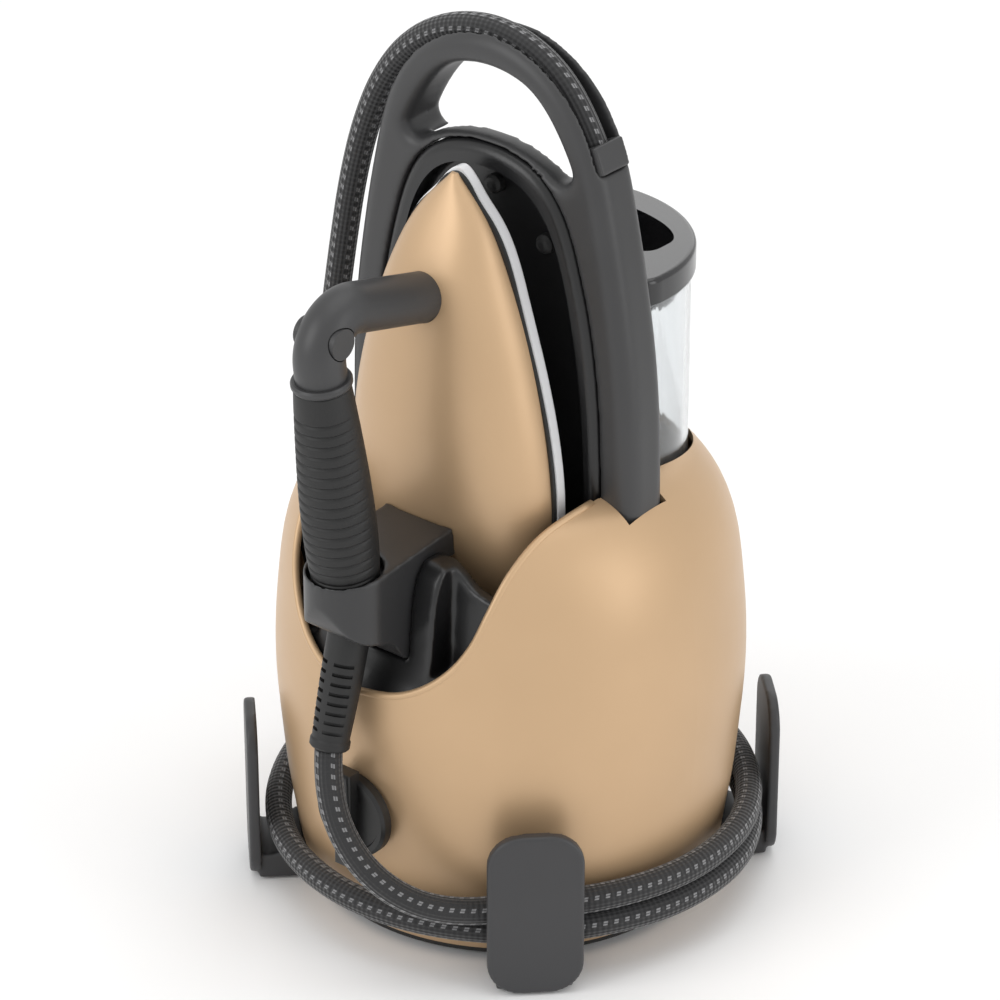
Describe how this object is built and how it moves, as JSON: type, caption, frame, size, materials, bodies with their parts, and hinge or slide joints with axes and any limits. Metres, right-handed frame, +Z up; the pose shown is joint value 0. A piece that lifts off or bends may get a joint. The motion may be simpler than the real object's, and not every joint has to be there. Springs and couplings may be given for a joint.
{
  "type": "steam generator iron",
  "caption": "Bucket-shaped steam generator with a carrying arch, a cradled iron on a braided hose, a lift-out water tank and corner hooks for the wound hose.",
  "frame": {"origin": "on the standing surface, under the centre of the object's box measured without its hose", "axes": "+Z up; -Y towards the iron, +Y towards the water tank; +X towards the hose collar"},
  "size_m": [0.254, 0.2636, 0.436],
  "materials": {
    "housing_gold": "satin metallic gold lacquer",
    "iron_gold": "satin metallic gold lacquer",
    "arch_grey": "satin dark grey",
    "panel_black": "semi-gloss black",
    "hook_grey": "satin dark grey",
    "black_plastic": "satin black",
    "grip_rubber": "matt black",
    "seal_rubber": "matt black",
    "hose_braid": "braided black with grey flecks",
    "tank_clear": "clear moulded plastic",
    "lid_black": "semi-gloss black",
    "sole_metal": "polished",
    "boiler_steel": "brushed",
    "brass": "plain",
    "cast_alloy": "as cast",
    "tube_silicone": "matt",
    "board_green": "solder mask",
    "button_grey": "satin"
  },
  "bodies": {
    "base": {"housing_shell": "housing_gold", "base_tray": "black_plastic", "hook_front_right": "hook_grey", "hook_front_left": "hook_grey", "hook_back_right": "hook_grey", "hook_back_left": "hook_grey", "rubber_feet": "seal_rubber", "tray_screws": "boiler_steel", "carry_arch": "arch_grey", "rest_panel": "panel_black", "rest_pads": "seal_rubber", "arch_back_cover": "black_plastic", "heel_saddle": "panel_black", "hose_collar": "arch_grey", "steam_hose": "hose_braid", "tank_seat": "black_plastic", "boiler_vessel": "boiler_steel", "boiler_feet": "seal_rubber", "heating_element": "boiler_steel", "boiler_lid": "brass", "boiler_screws": "boiler_steel", "safety_valve": "brass", "steam_valve": "brass", "pressure_switch": "black_plastic", "boiler_thermostat": "boiler_steel", "drain_neck": "brass", "drain_seal": "seal_rubber", "water_pump": "black_plastic", "pump_mounts": "seal_rubber", "control_board": "board_green", "suction_tube": "tube_silicone", "water_tube": "tube_silicone", "steam_tube": "tube_silicone", "mains_inlet": "black_plastic"},
    "iron": {"soleplate": "sole_metal", "steam_chamber": "cast_alloy", "chamber_cover": "boiler_steel", "skirt_gasket": "seal_rubber", "iron_shell": "iron_gold", "iron_neck": "arch_grey", "micro_switch": "black_plastic", "iron_steam_line": "tube_silicone", "thermal_fuse": "brass", "grip_core": "black_plastic", "grip_sleeve": "grip_rubber", "grip_collar": "arch_grey", "heel_bracket": "arch_grey", "strain_relief": "seal_rubber", "trigger_spring": "boiler_steel"},
    "trigger": {"steam_trigger": "arch_grey"},
    "power_button": {"power_button": "button_grey"},
    "tank": {"water_tank": "tank_clear", "tank_valve": "seal_rubber"},
    "lid": {"tank_lid": "lid_black"},
    "drain_cap": {"drain_cap": "black_plastic", "drain_stem": "black_plastic"}
  },
  "joints": [
    {"name": "iron_lift", "type": "slide", "parent": "base", "child": "iron", "axis": [0, 0, 1], "range_m": [0, 0.05]},
    {"name": "trigger_pull", "type": "hinge", "parent": "iron", "child": "trigger", "pos_m": [0, -0.11259, 0.32497], "axis": [1, 0, 0], "range_deg": [0, 3], "stiffness_Nm_per_rad": 2, "springref_deg": -2.86},
    {"name": "power_press", "type": "slide", "parent": "base", "child": "power_button", "axis": [-0.2588, -0.9659, 0], "range_m": [0, 0.0015], "stiffness_N_per_m": 500, "springref_m": -0.001},
    {"name": "tank_lift", "type": "slide", "parent": "base", "child": "tank", "axis": [0, 0, 1], "range_m": [0, 0.12]},
    {"name": "lid_lift", "type": "slide", "parent": "tank", "child": "lid", "axis": [0, 0, 1], "range_m": [0, 0.03]},
    {"name": "cap_turn", "type": "hinge", "parent": "base", "child": "drain_cap", "pos_m": [0, -0.0962, 0.075], "axis": [0, 1, 0], "range_deg": [0, 90]}
  ]
}
